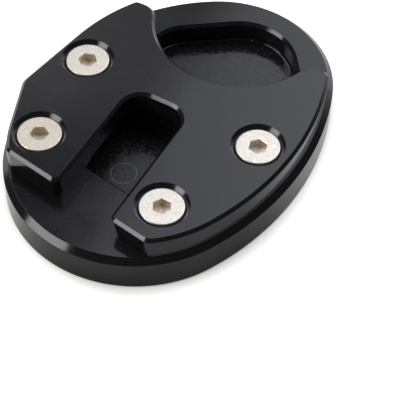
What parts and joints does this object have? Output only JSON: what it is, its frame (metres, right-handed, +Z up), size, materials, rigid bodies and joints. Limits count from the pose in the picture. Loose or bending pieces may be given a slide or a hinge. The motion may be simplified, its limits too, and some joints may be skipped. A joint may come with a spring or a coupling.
{
  "type": "kickstand foot enlarger",
  "caption": "Black anodised egg-shaped foot plate for a motorbike side stand: a pocketed base and a slotted, crescent-cut clamp plate held by countersunk socket screws.",
  "frame": {"origin": "under the middle of the base plate, on the face that stands on the ground", "axes": "+Z up from the ground; +Y from the mouth of the leg slot towards the round end of the pocket; +X to the right of someone who looks along +Y"},
  "size_m": [0.0714, 0.0964, 0.016],
  "materials": {
    "black_anodise": "satin-gloss black anodise over milled faces",
    "screw_steel": "pale plated steel with finely stippled flat heads"
  },
  "bodies": {
    "root": {"base_plate": "black_anodise", "clamp_plate": "black_anodise", "clamp_screws": "screw_steel"}
  },
  "joints": []
}
